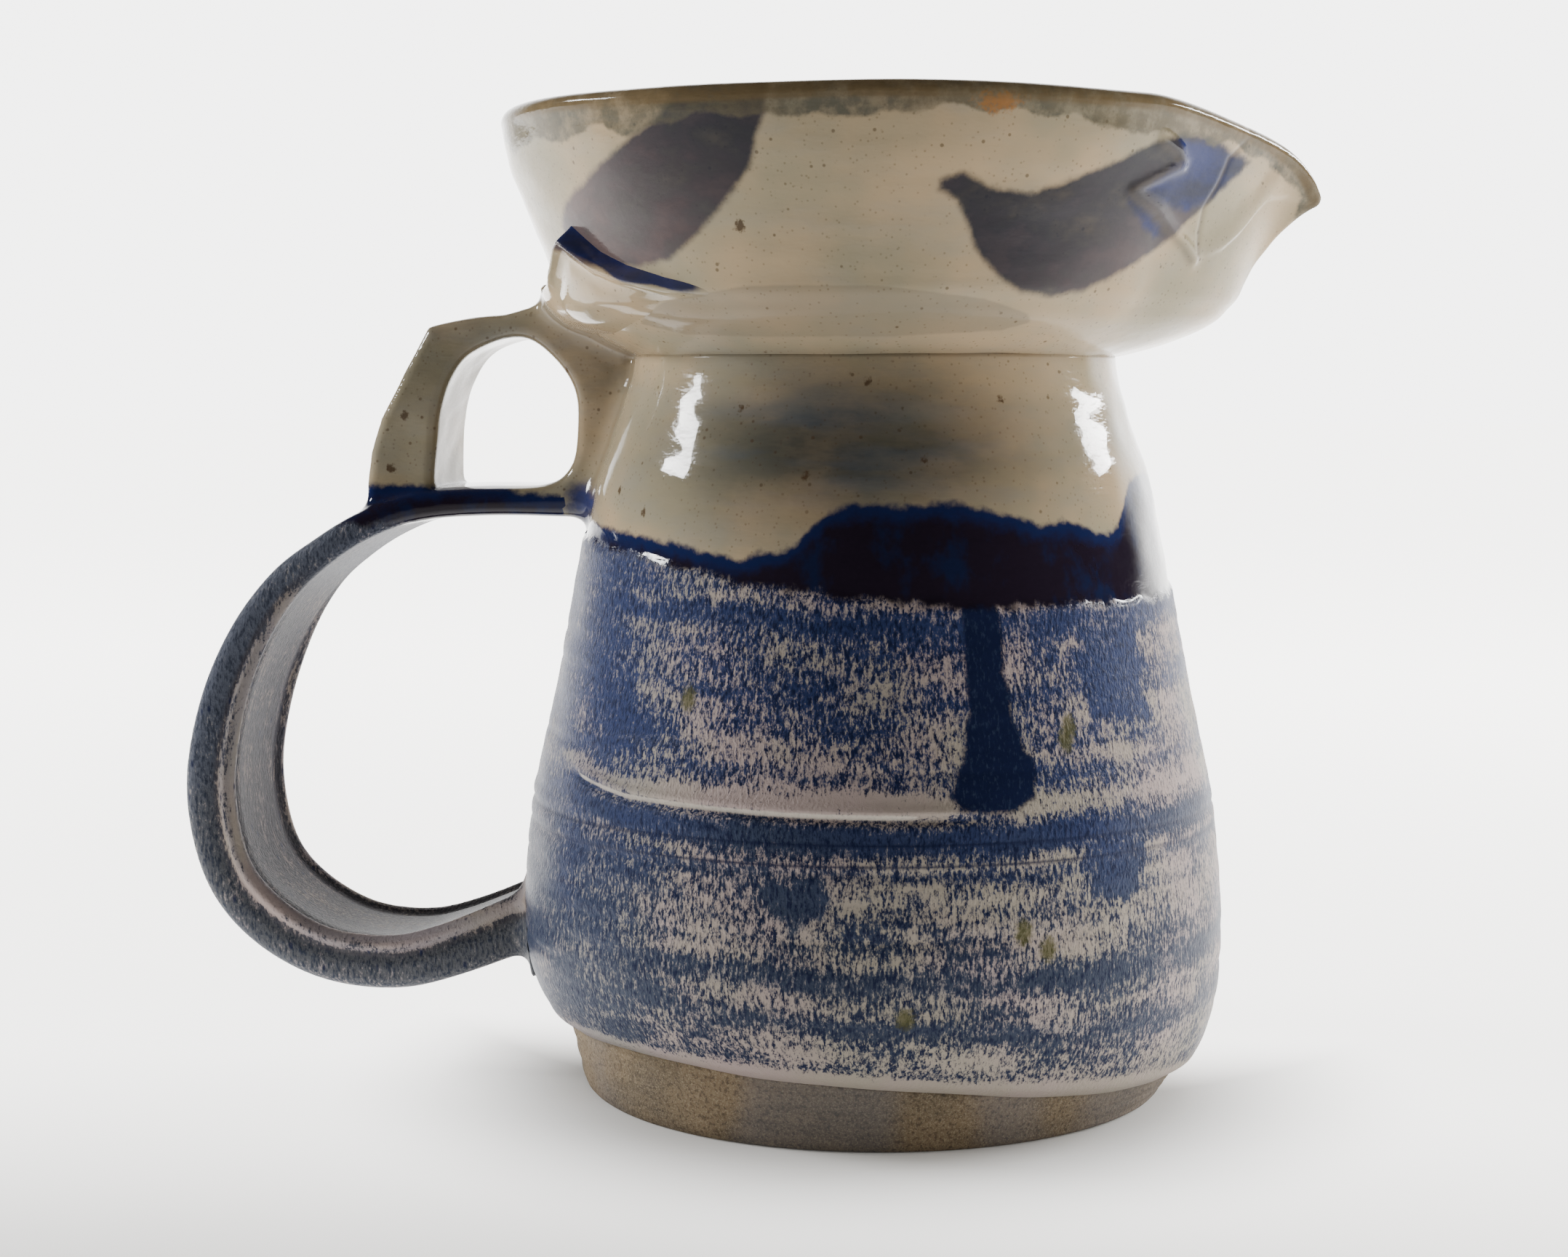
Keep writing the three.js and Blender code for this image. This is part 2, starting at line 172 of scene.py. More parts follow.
def spline(points, count):
    """Catmull-Rom through the points, at evenly spaced distances."""
    p = np.asarray(points, float)
    last = len(p) - 1
    t = np.linspace(0, last, last * 40 + 1)
    i = np.minimum(t.astype(int), last - 1)
    w = (t - i)[:, None]
    a, b, c, d = p[np.maximum(i - 1, 0)], p[i], p[i + 1], p[np.minimum(i + 2, last)]
    q = 0.5 * (2 * b + (c - a) * w + (2 * a - 5 * b + 4 * c - d) * w**2 + (3 * b - a - 3 * c + d) * w**3)
    run = np.r_[0, np.cumsum(np.linalg.norm(np.diff(q[:, :2], axis=0), axis=1))]
    at = np.linspace(0, run[-1], count)
    return np.stack([np.interp(at, run, q[:, k]) for k in range(q.shape[1])], 1)


def path_distance(x, y, path, closed=False):
    """Distance from each (x, y) to a path of straight pieces."""
    p = np.asarray(path, float)
    ends = np.roll(p, -1, 0) if closed else p[1:]
    best = np.full(np.shape(x), 1e9)
    for (ax, ay), (bx, by) in zip(p, ends):
        dx, dy = bx - ax, by - ay
        t = np.clip(((x - ax) * dx + (y - ay) * dy) / (dx * dx + dy * dy + 1e-12), 0, 1)
        best = np.minimum(best, np.hypot(x - ax - t * dx, y - ay - t * dy))
    return best


def inside_distance(x, y, outline):
    """Distance to a closed outline, positive inside it."""
    p = np.asarray(outline, float)
    inside = np.zeros(np.shape(x), bool)
    for (ax, ay), (bx, by) in zip(p, np.roll(p, -1, 0)):
        crosses = (ay > y) != (by > y)
        with np.errstate(divide="ignore", invalid="ignore"):
            inside ^= crosses & (x < (bx - ax) * (y - ay) / (by - ay + 1e-12) + ax)
    far = path_distance(x, y, p, True)
    return np.where(inside, far, -far)


def along_wall(pairs):
    return [(math.radians(a) * ROUND_R, z) for a, z in pairs]


# ---- The pot's surface ----
body_line = spline(BODY_PROFILE, 400)
collar_line = spline(COLLAR_PROFILE, 200)


def lean_at(r, theta, z):
    turn = np.cos(theta - math.radians(LEAN["from_deg"]))
    up = np.minimum(z / FOOT["edge_z"], 1) * (1 - smooth(z, FOOT["edge_z"], LEAN["end_z"]))
    return LEAN["height"] * turn * up * smooth(r, FOOT["floor_r"], FOOT["top_r"] - WALL)


def lip_pull(theta):
    off = np.abs(np.degrees(theta))
    rim = COLLAR_PROFILE[-1][0]
    out = np.where(off < LIP["half"], rim / np.cos(np.radians(np.maximum(LIP["half"] - off, 0))) - rim, 0)
    down = LIP["slope"] * np.maximum(0, 1 - off / LIP["slope_deg"]) ** 1.5
    down = down + LIP["curl"] * np.exp(-off / LIP["curl_deg"])
    return out, down, LIP["swell"] * (1 - smooth(off, 0, LIP["half"]))


def relief(theta, z):
    """Height of the throwing marks, grooves, glaze steps and lip welts above the plain wall."""
    u = theta * ROUND_R
    deg = np.degrees(theta)
    spot = np.stack([np.cos(theta) * 60, np.sin(theta) * 60, z], -1)
    out = 0.22 * lumps(spot, 38, 3) + 0.1 * lumps(spot * [0.35, 0.35, 1], 7, 4)
    matte = np.interp(deg, *zip(*MATTE_EDGE)) - z + 0.8 * lumps(spot, 9, 8)
    out += 0.55 * smooth(matte, -0.6, 0.9)
    for height, depth in RINGS:
        tilt = 0.9 * np.sin(theta + height)
        fade = 0.55 + 0.45 * np.sin(theta * 1.5 + height * 2.1)
        out -= depth * fade * 1.5 * bell(z, height + tilt, 0.75)
        out += depth * fade * bell(z, height + tilt + 2.1, 1.4)
    out += 0.55 * (smooth(z, 117, 131) - smooth(z, 131, 150))
    out -= 0.05 * bell(z, 139 + 0.8 * np.sin(theta * 2), 1.8)
    line = np.interp(deg, *zip(*GROOVE))
    reach = smooth(deg, -146, -134) * (1 - smooth(deg, -74, -62))
    out += reach * (0.8 * bell(z, line + 1.7, 1.0) - 0.9 * bell(z, line + 0.1, 0.7))
    out += 0.25 * bell(z, 163.2, 1.6) - 0.2 * bell(z, 160.2, 1.3)
    near = z > 160
    if near.any():
        for side in (1, -1):
            welt = path_distance(side * u, z, along_wall(WELT))
            crack = path_distance(side * u, z, along_wall(CRACK))
            out += near * (0.6 * np.exp(-((welt / 1.3) ** 2)) - 0.16 * np.exp(-((crack / 0.6) ** 2)))
        over = z - np.interp(deg, *zip(*BEAK_EDGE))
        out += 0.75 * smooth(over, -1.6, 0.5) * (1 - smooth(over, 1.5, 9)) * (1 - smooth(np.abs(deg), 12, 20))
    return out


def glaze_fields(theta, z):
    """What the glaze shader reads, as one number per vertex."""
    u = theta * ROUND_R
    deg = np.degrees(theta)
    pale = z - np.interp(deg, *zip(*PALE_EDGE))
    matte = np.interp(deg, *zip(*MATTE_EDGE)) - z
    strokes = [inside_distance(u, z, along_wall(s)) for s in [LEFT_STROKE, RIGHT_STROKE] + FAR_STROKES]
    dark = np.full(np.shape(u), -ABSENT)
    for side in (1, -1):
        dark = np.maximum(dark, inside_distance(side * u, z, along_wall(LIP_DARK)) + 0.6)
        dark = np.maximum(dark, inside_distance(side * u, z, along_wall(LIP_POOL)) + 0.3)
    drip = inside_distance(u, z, along_wall(DRIP))
    blue = 0.6 * (1 - smooth(deg, -140, -98)) * (z < 130) * (deg < -60)
    flat = np.stack([u, z], -1)
    wander = 1.6 * lumps(flat, 9, 71) + 0.9 * lumps(flat, 4, 72)
    drip = drip + 0.18 * wander
    for patch in PATCHES:
        blue = np.maximum(blue, 0.85 * smooth(inside_distance(u, z, along_wall(patch)) + wander, -2.2, 2.6))
    for at, wide, height, tall, amount in BLUE_CLOUDS:
        blue = np.maximum(blue, amount * bell(deg, at, wide) * bell(z, height, tall))
    wave = 1.1 * np.sin(theta * 2.3 + 1.0)
    line = np.interp(deg, *zip(*GROOVE))
    blue = np.maximum(blue, 0.95 * bell(z, line - 3.4 + 0.2 * wave, 2.6))
    for height, width, amount in BLUE_BANDS:
        blue = np.maximum(blue, amount * bell(z, height + wave, width))
    along_groove = smooth(deg, -150, -140) * (1 - smooth(deg, -76, -62))
    pink = bell(z, line + 2.8, 1.9) * (0.25 + 0.65 * along_groove) + smooth(12.0 - z, -1, 1.2)
    tilt = 0.8 * np.sin(theta + 3)
    thin = np.maximum(bell(z, 60.0 + tilt, 0.35), bell(z, 56.2 + tilt, 0.3))
    # painted shade: a faint dark line in the neck crease
    thin = np.maximum(thin, 0.3 * bell(z, NECK_Z, 1.1))
    beside_welt = [(a - 1.0, b - 0.5) for a, b in WELT]
    for side in (1, -1):
        thin = np.maximum(thin, 0.8 * bell(path_distance(side * u, z, along_wall(CRACK)), 0, 0.4))
        thin = np.maximum(thin, 0.7 * bell(path_distance(side * u, z, along_wall(beside_welt)), 0, 0.6))
    # painted highlight: a pale line along the groove's ridge top, from about -146 to -68 degrees
    crest_highlight = np.abs(z - line - 0.75) + 3 * (1 - smooth(deg, -146, -138)) + 3 * smooth(deg, -78, -68)
    rust = np.hypot((u - math.radians(-66) * ROUND_R) * 0.5, z - 195.5)
    left = smooth((deg + 125) / 25 + (z - 180) / 20, -0.6, 1.5)
    right = smooth((-45 - deg) / 25 + (z - 178) / 12, -2.4, 0.2)
    deep = np.where(deg < -85, left, right)
    flap = inside_distance(u, z, along_wall(FLAP))
    speck = np.full(np.shape(u), ABSENT)
    for a, b in along_wall(SPECKS):
        speck = np.minimum(speck, np.hypot(u - a, z - b))
    olive = np.full(np.shape(u), ABSENT)
    for a, b in along_wall(OLIVE):
        olive = np.minimum(olive, np.hypot(u - a, (z - b) * 0.7))
    return {
        "pale": pale, "matte": matte, "stroke": np.maximum.reduce(strokes), "dark": dark, "drip": drip,
        "blue": blue, "pink": np.clip(pink, 0, 1), "thin": thin, "speck": speck, "olive": olive,
        "crest_highlight": crest_highlight, "rust": rust, "deep": deep, "flap": flap, "inner_face_shade": np.zeros(np.shape(u)),
        # painted shade with the glaze's hazy tone: darkest on the shoulder round -90 degrees
        "haze_and_shade": bell(z, 134, 17) * (0.12 + 0.88 * bell(deg, -90, 42)),
    }


# ---- Mesh building ----
def make_piece(name, points, quads, fields, material, node, normals=None):
    mesh = bpy.data.meshes.new(name)
    quads = np.asarray(quads, np.int32)
    mesh.vertices.add(len(points))
    mesh.vertices.foreach_set("co", np.ascontiguousarray(points * MM, np.float32).ravel())
    mesh.loops.add(quads.size)
    mesh.loops.foreach_set("vertex_index", quads.ravel())
    mesh.polygons.add(len(quads))
    mesh.polygons.foreach_set("loop_start", np.arange(0, quads.size, 4, dtype=np.int32))
    mesh.update(calc_edges=True)
    mesh.validate()
    mesh.polygons.foreach_set("use_smooth", np.ones(len(mesh.polygons), bool))
    for key, values in fields.items():
        layer = mesh.attributes.new(key, "FLOAT", "POINT")
        layer.data.foreach_set("value", np.ascontiguousarray(values, np.float32).ravel())
    if normals is not None:
        mesh.normals_split_custom_set_from_vertices(normals.tolist())
    mesh.materials.append(material)
    piece = bpy.data.objects.new(name, mesh)
    bpy.context.scene.collection.objects.link(piece)
    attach(piece, "root")
    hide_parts(node)
    return piece


def grid_quads(rows, cols, wrap_rows, wrap_cols):
    i, j = np.meshgrid(np.arange(rows if wrap_rows else rows - 1), np.arange(cols if wrap_cols else cols - 1),
                       indexing="ij")
    down, right = (i + 1) % rows, (j + 1) % cols
    return np.stack([i * cols + j, i * cols + right, down * cols + right, down * cols + j], -1).reshape(-1, 4)


def edge_normals(r, z):
    """Unit normals of a section drawn from the bottom up, to its right; rows run along axis 0."""
    dr, dz = np.gradient(r, axis=0), np.gradient(z, axis=0)
    size = np.hypot(dr, dz) + 1e-9
    return dz / size, -dr / size


def turn(r, z, theta):
    return np.stack([r * np.cos(theta), r * np.sin(theta), z], -1).reshape(-1, 3)


def vessel_piece(name, node, material, outer_r, outer_z, theta, wrap, rim=False, wall=WALL):
    """A wall: its outside with relief, a rounded or plain top, its inside, and back to the start."""
    th = np.broadcast_to(theta, outer_r.shape)
    nr, nz = edge_normals(outer_r, outer_z)
    lift = relief(th, outer_z)
    if rim:
        share = np.linspace(0, 1, len(outer_r))[:, None]
        lift = lift * (1 - 0.6 * smooth(share, 0.95, 1))
        wall_here = wall + (RIM_WALL - wall) * smooth(share, 0.7, 1)
    else:
        wall_here = wall
    share = np.linspace(0, 1, len(outer_r))[:, None]
    level = smooth(share, 0, 0.12) * (1 if rim else 1 - smooth(share, 0.97, 1))
    inner_r, inner_z = outer_r - (1 + (nr - 1) * level) * wall_here, outer_z - nz * level * wall_here
    out_r, out_z = outer_r + nr * lift, outer_z + nz * lift
    ring = 0.12 * lumps(np.stack([np.cos(th) * 20, np.sin(th) * 20, inner_z], -1), 8, 12)
    inner_r = inner_r - ring
    parts_r, parts_z = [out_r], [out_z]
    if rim:
        mid_r, mid_z = (out_r[-1] + inner_r[-1]) / 2, (out_z[-1] + inner_z[-1]) / 2
        half = np.hypot(out_r[-1] - mid_r, out_z[-1] - mid_z)
        tilt = np.arctan2(out_z[-1] - mid_z, out_r[-1] - mid_r)
        for a in np.linspace(0, math.pi, 13)[1:-1]:
            parts_r.append((mid_r + half * np.cos(tilt + a))[None])
            parts_z.append((mid_z + half * np.sin(tilt + a))[None])
    step = max(1, len(outer_r) // 20)
    keep = np.r_[np.arange(len(outer_r) - 1, 0, -step), 0]
    parts_r.append(inner_r[keep])
    parts_z.append(inner_z[keep])
    r, z = np.concatenate(parts_r), np.concatenate(parts_z)
    count = len(r)
    th = np.broadcast_to(theta, r.shape)
    points = turn(r, z + lean_at(r, th, z) * (outer_z.min() < 60), th)
    quads = grid_quads(count, len(theta), True, wrap)
    fields = glaze_fields(th, z)
    inside = np.zeros(r.shape)
    inside[len(out_r) + (6 if rim else 0):] = 1
    fields["inside"] = inside
    edge = np.zeros(r.shape)
    if rim:
        back = outer_z[-1][None] - z
        edge = np.exp(-np.maximum(back, 0) / np.where(inside > 0, 1.5, 1.3))
        deg = np.degrees(th)
        drips = sum(length * bell(deg, at, width) for at, width, length in RIM_DRIPS)
        uneven = lumps(np.stack([th * ROUND_R, 0 * th], -1), 11, 81)
        fields["drop"] = np.maximum(back, 0) - 1.5 * drips - 0.8 * uneven
    else:
        fields["drop"] = np.full(r.shape, NO_RIM)
    fields["rim"] = edge
    return make_piece(name, points, quads, fields, material, node)


# ---- The handle as a distance field ----
def saddle_top(off):
    return np.interp(off, *zip(*SADDLE_TOP))


def saddle_height(off, z):
    """How far the saddle stands off the collar, under zero where it isn't there."""
    top = saddle_top(off)
    body = 2.9 * (1 - smooth(off, 36, 70)) + 0.5 * (1 - smooth(off, 62, 73))
    low = 154.6 + 3.6 * smooth(off, 30, 64)
    rise = smooth(z, low - 1.5, low + 7.0)
    fall = 1 - smooth(z, top - 1.6, top + 0.8)
    lipline = bell(z, top - 1.5, 1.1) - 0.5 * bell(z, top - 5.2, 2.2)
    lipline = lipline * smooth(off, 22, 32) * (1 - smooth(off, 56, 70))
    return (body + 0.75) * rise * fall + lipline - 0.75


def pot_distance(r, z):
    """Distance from the pot's plain outside, from a table over (r, z)."""
    table_r, table_z = np.arange(36, 112, 0.5), np.arange(4, 206, 0.5)
    gr, gz = np.meshgrid(table_r, table_z, indexing="ij")
    line = np.concatenate([body_line[::4], collar_line[::4]])
    shut = np.concatenate([line, [(0, 198.3), (0, 8.9)]])
    table = -inside_distance(gr, gz, shut)
    fr = np.clip((r - table_r[0]) / 0.5, 0, len(table_r) - 1.001)
    fz = np.clip((z - table_z[0]) / 0.5, 0, len(table_z) - 1.001)
    i, j = fr.astype(int), fz.astype(int)
    a, b = fr - i, fz - j
    return ((table[i, j] * (1 - a) + table[i + 1, j] * a) * (1 - b)
            + (table[i, j + 1] * (1 - a) + table[i + 1, j + 1] * a) * b)


def base_distance(x, y, z):
    r = np.hypot(x, y)
    off = np.abs(np.degrees(np.arctan2(y, -x)))
    theta = np.arctan2(y, x)
    stand = np.where((z > 150) & (z < 182), np.maximum(saddle_height(off, z), 0), 0)
    return pot_distance(r, z) - stand - relief(theta, z)


def rounded(a, b, corner):
    """Distance to a rounded rectangle, from how far a point is past each of its inset sides."""
    return np.hypot(np.maximum(a, 0), np.maximum(b, 0)) + np.minimum(np.maximum(a, b), 0) - corner


def loop_distance(x, y, z):
    """The strap: a rounded section with a crowned outside and a ridged, dished inside."""
    route = spline(LOOP_ROUTE, 260)
    px, pz = x[:, 0, :], z[:, 0, :]
    best = np.full(px.shape, 1e9)
    side, half, along = np.zeros(px.shape), np.zeros(px.shape), np.zeros(px.shape)
    for k in range(len(route) - 1):
        (ax, az, ah), (bx, bz, bh) = route[k], route[k + 1]
        dx, dz = bx - ax, bz - az
        length = math.hypot(dx, dz)
        t = np.clip(((px - ax) * dx + (pz - az) * dz) / length**2, 0, 1)
        gap = np.hypot(px - ax - t * dx, pz - az - t * dz)
        n = ((px - ax) * dz - (pz - az) * dx) / length
        closer = gap < best
        best = np.where(closer, gap, best)
        side = np.where(closer, np.sign(n) * gap, side)
        half = np.where(closer, ah + (bh - ah) * t, half)
        along = np.where(closer, (k + t) / (len(route) - 1), along)
    side, half, along = side[:, None, :], half[:, None, :], along[:, None, :]
    wide = LOOP_HALF + (LOOP_ROOT_HALF - LOOP_HALF) * smooth(along, 0.85, 1)
    wide = wide - 2.2 * (1 - smooth(along, 0.12, 0.28))
    v = y / wide
    strap = smooth(along, 0.3, 0.46)
    outer = half + 0.7 * (1 - v**2) - 0.6
    dish = 0.9 * (1 - v**2) - 0.9 * bell(np.abs(v), 0.93, 0.1) + 0.55 * bell(np.abs(v), 0.74, 0.09)
    inner = half - strap * dish
    across = side / half
    wide = wide + strap * (0.7 * bell(across, -0.78, 0.2) - 0.9 * bell(across, -0.3, 0.24))
    rough = 0.07 * lumps(np.stack(np.broadcast_arrays(x, y, z), -1), 26, 31)
    thick = np.where(side > 0, outer, inner) + rough
    corner = np.minimum(2.9, half * 0.8)
    a, b = np.abs(side) - (thick - corner), np.abs(y) - (wide - corner + rough)
    return rounded(a, b, corner), along, side


def arch_distance(x, y, z):
    px, pz = x[:, 0, :], z[:, 0, :]
    hole = spline(ARCH_HOLE + ARCH_HOLE[:1], 90)[:-1]
    flat = -np.minimum(inside_distance(px, pz, ARCH_OUTSIDE), -inside_distance(px, pz, hole))
    spot = np.stack(np.broadcast_arrays(x, y, z), -1)
    rough = 0.3 * lumps(spot, 27, 41) + 0.06 * lumps(spot, 9, 42)
    flat = flat[:, None, :] + rough
    wide = ARCH_HALF + 2.0 * smooth(x, -75, -56) + 0.5 * smooth(-x, 96, 104) + rough
    corner = 2.3
    return rounded(flat + corner, np.abs(y) - (wide - corner), corner)


def surface_nets(field, origin, step):
    """The zero surface of a sampled field, as vertices and quads facing out."""
    nx, ny, nz = field.shape
    neg = field < 0
    corners = [(i, j, k) for i in (0, 1) for j in (0, 1) for k in (0, 1)]
    count = sum(neg[i:nx - 1 + i, j:ny - 1 + j, k:nz - 1 + k].astype(np.int8) for i, j, k in corners)
    active = (count > 0) & (count < 8)
    ids = np.full(active.shape, -1, np.int64)
    ids[active] = np.arange(active.sum())
    cells = np.argwhere(active)
    total, hits = np.zeros((len(cells), 3)), np.zeros(len(cells))
    for a in corners:
        for axis in range(3):
            if a[axis]:
                continue
            b = list(a)
            b[axis] = 1
            fa = field[tuple((cells + a).T)]
            fb = field[tuple((cells + b).T)]
            cut = (fa < 0) != (fb < 0)
            t = np.where(cut, fa / np.where(cut, fa - fb, 1), 0)
            spot = np.array(a, float) + t[:, None] * (np.array(b) - np.array(a))
            total += spot * cut[:, None]
            hits += cut
    points = origin + step * (cells + total / hits[:, None])
    quads = []
    for axis in range(3):
        lo, hi = [slice(None)] * 3, [slice(None)] * 3
        lo[axis], hi[axis] = slice(0, -1), slice(1, None)
        flips = neg[tuple(lo)] != neg[tuple(hi)]
        at = np.argwhere(flips)
        o1, o2 = [k for k in range(3) if k != axis]
        across = at[:, [o1, o2]]
        room = np.array([field.shape[o1], field.shape[o2]]) - 1
        at = at[np.all((across > 0) & (across < room), axis=1)]
        e1, e2 = np.eye(3, dtype=int)[o1], np.eye(3, dtype=int)[o2]
        q = np.stack([ids[tuple(cell.T)] for cell in (at - e1 - e2, at - e2, at, at - e1)], -1)
        out = neg[tuple(at.T)] ^ (axis == 1)
        q[~out] = q[~out][:, ::-1]
        quads.append(q)
    return points, np.concatenate(quads)


def handle_field():
    lo, hi = np.array([-149.0, -20.0, 13.0]), np.array([-43.0, 20.0, 167.5])
    axes = [np.arange(lo[k], hi[k], HANDLE_GRID) for k in range(3)]
    x, y, z = (a.reshape(s) for a, s in zip(axes, ((-1, 1, 1), (1, -1, 1), (1, 1, -1))))
    shape = tuple(len(a) for a in axes)
    full = [np.broadcast_to(a, shape) for a in (x, y, z)]
    loop, along, side = loop_distance(*full)
    arch = arch_distance(*full)
    base = base_distance(*full)
    own = soft_min(arch, loop, 3.0)
    both = soft_min(own, base, 4.5) + 0.06
    field = np.maximum(np.maximum(both, -(base + 1.2)), own - 5.5)
    return field, lo, along, side


def sample(volume, points, origin):
    f = np.clip((points - origin) / HANDLE_GRID, 0, np.array(volume.shape) - 1.001)
    i = f.astype(int)
    w = f - i
    total = 0
    for c in ((a, b, d) for a in (0, 1) for b in (0, 1) for d in (0, 1)):
        share = np.prod(np.where(c, w, 1 - w), axis=1)
        total = total + share * volume[tuple((i + c).T)]
    return total


# ---- Materials ----
class Shader:
    """A small helper that adds nodes and links them by name."""

    def __init__(self, name):
        self.material = bpy.data.materials.new(name)
        self.material.use_nodes = True
        self.tree = self.material.node_tree
        self.tree.nodes.clear()
        coords = self.node("ShaderNodeTexCoord").outputs["Object"]
        scaled = self.node("ShaderNodeVectorMath", operation="SCALE")
        self.tree.links.new(coords, scaled.inputs[0])
        scaled.inputs["Scale"].default_value = 1 / MM
        self.mm = scaled.outputs[0]

    def node(self, kind, **settings):
        made = self.tree.nodes.new(kind)
        for key, value in settings.items():
            setattr(made, key, value)
        return made

    def put(self, socket, value):
        if isinstance(value, bpy.types.NodeSocket):
            self.tree.links.new(value, socket)
        elif value is not None:
            colour = socket.type == "RGBA" and isinstance(value, tuple) and len(value) == 3
            socket.default_value = (*value, 1.0) if colour else value

    def math(self, operation, a, b=None, c=None):
        made = self.node("ShaderNodeMath", operation=operation)
        for socket, value in zip(made.inputs, (a, b, c)):
            self.put(socket, value)
        return made.outputs[0]

    def plus(self, a, b):
        return self.math("ADD", a, b)

    def minus(self, a, b):
        return self.math("SUBTRACT", a, b)

    def times(self, a, b):
        return self.math("MULTIPLY", a, b)

    def field(self, name):
        return self.node("ShaderNodeAttribute", attribute_name=name).outputs["Fac"]

    def stretch(self, x, y, z):
        made = self.node("ShaderNodeVectorMath", operation="MULTIPLY")
        self.put(made.inputs[0], self.mm)
        made.inputs[1].default_value = (x, y, z)
        return made.outputs[0]

    def noise(self, scale, detail=3.0, rough=0.5, vector=None):
        made = self.node("ShaderNodeTexNoise")
        self.put(made.inputs["Vector"], vector or self.mm)
        made.inputs["Scale"].default_value = scale
        made.inputs["Detail"].default_value = detail
        made.inputs["Roughness"].default_value = rough
        return made.outputs[0]

    def cells(self, scale, vector=None):
        made = self.node("ShaderNodeTexVoronoi")
        self.put(made.inputs["Vector"], vector or self.mm)
        made.inputs["Scale"].default_value = scale
        return made.outputs["Distance"], made.outputs["Color"]

    def step(self, value, low, high, start=0.0, end=1.0):
        made = self.node("ShaderNodeMapRange", interpolation_type="SMOOTHSTEP")
        for socket, given in zip(made.inputs, (value, low, high, start, end)):
            self.put(socket, given)
        return made.outputs[0]

    def mix(self, share, a, b):
        made = self.node("ShaderNodeMix", data_type="RGBA")
        self.put(made.inputs[0], share)
        self.put(made.inputs[6], a)
        self.put(made.inputs[7], b)
        return made.outputs[2]

    def dots(self, scale, size, rarity, channel=0, strength=1.0, vector=None):
        """Small round dots in the cells that the random tint picks out."""
        distance, tint = self.cells(scale, vector)
        pick = self.node("ShaderNodeSeparateColor")
        self.put(pick.inputs[0], tint)
        dot = self.step(distance, *size, strength, 0.0)
        return self.times(dot, self.step(pick.outputs[channel], *rarity))

    def finish(self, colour, rough, height, coat=0.0, specular=0.3):
        surface = self.node("ShaderNodeBsdfPrincipled")
        self.put(surface.inputs["Base Color"], colour)
        self.put(surface.inputs["Roughness"], rough)
        self.put(surface.inputs["Coat Weight"], coat)
        surface.inputs["Coat Roughness"].default_value = 0.035
        surface.inputs["Specular IOR Level"].default_value = specular
        bump = self.node("ShaderNodeBump")
        bump.inputs["Strength"].default_value = 1.0
        bump.inputs["Distance"].default_value = MM
        self.put(bump.inputs["Height"], height)
        self.tree.links.new(bump.outputs[0], surface.inputs["Normal"])
        self.tree.links.new(surface.outputs[0], self.node("ShaderNodeOutputMaterial").inputs[0])
        return self.material


# The two near-black hazy tones are the shoulder's blue-grey glaze haze with painted shade in it.
PALE_WARM, PALE_COOL, PALE_HAZE_SHADE = (0.4, 0.3, 0.182), (0.28, 0.245, 0.163), (0.034, 0.036, 0.033)
INK, COBALT, COBALT_DEEP = (0.01, 0.0065, 0.013), (0.019, 0.03, 0.092), (0.0065, 0.01, 0.034)
STROKE_WARM, STROKE_COOL = (0.1, 0.072, 0.072), (0.058, 0.052, 0.06)
STROKE_DEEP, FLAP_TONE = (0.013, 0.016, 0.026), (0.17, 0.14, 0.1)
ROSE, SAND = (0.31, 0.25, 0.235), (0.28, 0.25, 0.205)
IRON, RUST, OLIVE_TONE = (0.05, 0.028, 0.014), (0.3, 0.13, 0.035), (0.06, 0.058, 0.014)
# The palest tone here is a painted highlight along the groove's ridge top.
POOL, SMOKE, CREST_HIGHLIGHT = (0.007, 0.017, 0.1), (0.055, 0.06, 0.05), (0.5, 0.46, 0.4)
# The darker inner-face ground and blue are painted shade over the strap's own grey-mauve glaze.
BLUE_HAZE_SHADE, SLATE, SHADED_INNER_GROUND = (0.028, 0.04, 0.055), (0.034, 0.043, 0.06), (0.12, 0.095, 0.085)
SHADED_INNER_BLUE = (0.03, 0.025, 0.028)
PALE_CLOUD, SMOKE_WARM, RIM_BROWN = (0.27, 0.26, 0.22), (0.1, 0.085, 0.055), (0.11, 0.075, 0.035)
# The thin brown also paints a faint shade line in the neck crease.
BLUE_GROUND, DRIP_BLUE, THIN_BROWN = (0.12, 0.125, 0.16), (0.02, 0.03, 0.06), (0.09, 0.075, 0.06)
CLAY_LIGHT, CLAY_DARK, CLAY_TURNED = (0.15, 0.11, 0.066), (0.095, 0.074, 0.047), (0.22, 0.165, 0.1)
CLAY_GRAIN, CLAY_GRIT, CLAY_WASH = (0.3, 0.24, 0.16), (0.05, 0.038, 0.028), (0.11, 0.12, 0.15)
STRAP_BLUES = ((0.062, 0.07, 0.095), (0.075, 0.077, 0.082), (0.026, 0.031, 0.046))


